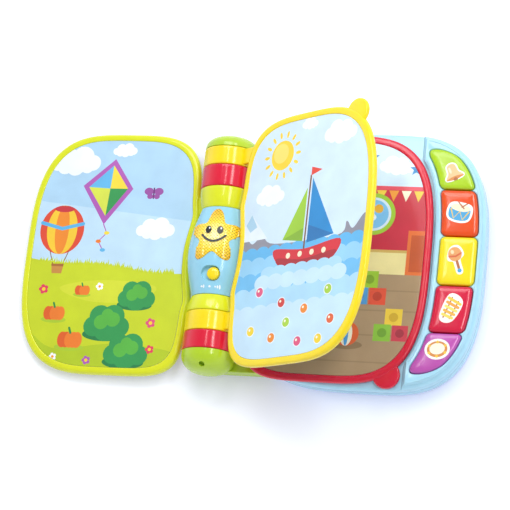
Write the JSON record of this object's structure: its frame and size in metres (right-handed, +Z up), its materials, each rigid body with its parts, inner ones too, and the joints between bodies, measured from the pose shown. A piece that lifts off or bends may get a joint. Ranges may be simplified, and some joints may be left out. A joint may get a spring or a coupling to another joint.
{
  "type": "sound book",
  "caption": "Open plastic sound book for small children: round spine with a star light and slide switch, cover and pages hinged on it, and a base with sound keys",
  "frame": {"origin": "on the table plane under the spine, below the hinge axis, in the flat pad of the base under the spine window", "axes": "+X across the open book towards the base and its keys, +Y along the spine towards the head of the pages, +Z up from the table"},
  "size_m": [0.4194, 0.2315, 0.1321],
  "materials": {
    "blue_plastic": "injection-moulded ABS, high gloss",
    "lime_plastic": "injection-moulded ABS, high gloss",
    "lime_yellow_plastic": "injection-moulded ABS, high gloss",
    "yellow_plastic": "injection-moulded ABS, high gloss",
    "red_plastic": "injection-moulded ABS, high gloss",
    "orange_plastic": "injection-moulded ABS, high gloss",
    "purple_plastic": "injection-moulded ABS, high gloss",
    "amber_lens": "faceted translucent polycarbonate",
    "grey_plastic": "injection-moulded ABS, natural grey",
    "dark_plastic": "paper cone in a black frame",
    "led_epoxy": "cast epoxy",
    "circuit_board": "green solder mask on laminate",
    "grey_rubber": "moulded silicone",
    "clear_rubber": "moulded rubber",
    "steel": "zinc-plated steel",
    "battery_wrap": "shrink-wrapped steel can",
    "printed_card": "printed and laminated card"
  },
  "bodies": {
    "base": {"base_bottom_shell": "blue_plastic", "base_top_shell": "blue_plastic", "spine_housing": "blue_plastic", "spine_end_cap_top": "lime_plastic", "spine_end_cap_bottom": "lime_plastic", "hinge_tube_top": "grey_plastic", "hinge_tube_bottom": "grey_plastic", "star_lens": "amber_lens", "star_led": "led_epoxy", "spine_board": "circuit_board", "slide_switch_body": "steel", "key_membrane": "grey_rubber", "key_board": "circuit_board", "speaker": "dark_plastic", "battery_left": "battery_wrap", "battery_right": "battery_wrap", "battery_contact_upper": "steel", "battery_contact_lower": "steel", "battery_door": "blue_plastic", "battery_door_screw": "steel", "main_board": "circuit_board", "case_screw_1": "steel", "case_screw_2": "steel", "case_screw_3": "steel", "case_screw_4": "steel", "case_screw_5": "steel", "case_screw_6": "steel", "rubber_foot_1": "clear_rubber", "rubber_foot_2": "clear_rubber", "rubber_foot_3": "clear_rubber", "rubber_foot_4": "clear_rubber"},
    "cover": {"cover_frame": "lime_yellow_plastic", "cover_inner_print": "printed_card", "cover_outer_print": "printed_card"},
    "yellow_page": {"yellow_page_frame": "yellow_plastic", "yellow_page_back_print": "printed_card", "yellow_page_front_print": "printed_card"},
    "red_page": {"red_page_frame": "red_plastic", "red_page_back_print": "printed_card", "red_page_front_print": "printed_card"},
    "lime_key": {"key_lime": "lime_plastic"},
    "orange_key": {"key_orange": "orange_plastic"},
    "yellow_key": {"key_yellow": "yellow_plastic"},
    "red_key": {"key_red": "red_plastic"},
    "purple_key": {"key_purple": "purple_plastic"},
    "slide_knob": {"slide_knob": "yellow_plastic"}
  },
  "joints": [
    {"name": "cover_hinge", "type": "hinge", "parent": "base", "child": "cover", "pos_m": [0, 0, 0.026], "axis": [0, -1, 0], "range_deg": [-149.5, 0]},
    {"name": "yellow_page_hinge", "type": "hinge", "parent": "base", "child": "yellow_page", "pos_m": [0, 0, 0.026], "axis": [0, -1, 0], "range_deg": [-32, 149.5]},
    {"name": "red_page_hinge", "type": "hinge", "parent": "base", "child": "red_page", "pos_m": [0, 0, 0.026], "axis": [0, -1, 0], "range_deg": [0, 30]},
    {"name": "lime_key_press", "type": "slide", "parent": "base", "child": "lime_key", "axis": [0, 0, -1], "range_m": [0, 0.002], "stiffness_N_per_m": 600, "springref_m": -0.001},
    {"name": "orange_key_press", "type": "slide", "parent": "base", "child": "orange_key", "axis": [0, 0, -1], "range_m": [0, 0.002], "stiffness_N_per_m": 600, "springref_m": -0.001},
    {"name": "yellow_key_press", "type": "slide", "parent": "base", "child": "yellow_key", "axis": [0, 0, -1], "range_m": [0, 0.002], "stiffness_N_per_m": 600, "springref_m": -0.001},
    {"name": "red_key_press", "type": "slide", "parent": "base", "child": "red_key", "axis": [0, 0, -1], "range_m": [0, 0.002], "stiffness_N_per_m": 600, "springref_m": -0.001},
    {"name": "purple_key_press", "type": "slide", "parent": "base", "child": "purple_key", "axis": [0, 0, -1], "range_m": [0, 0.002], "stiffness_N_per_m": 600, "springref_m": -0.001},
    {"name": "switch_slide", "type": "slide", "parent": "base", "child": "slide_knob", "axis": [-1, 0, 0], "range_m": [0, 0.005]}
  ]
}
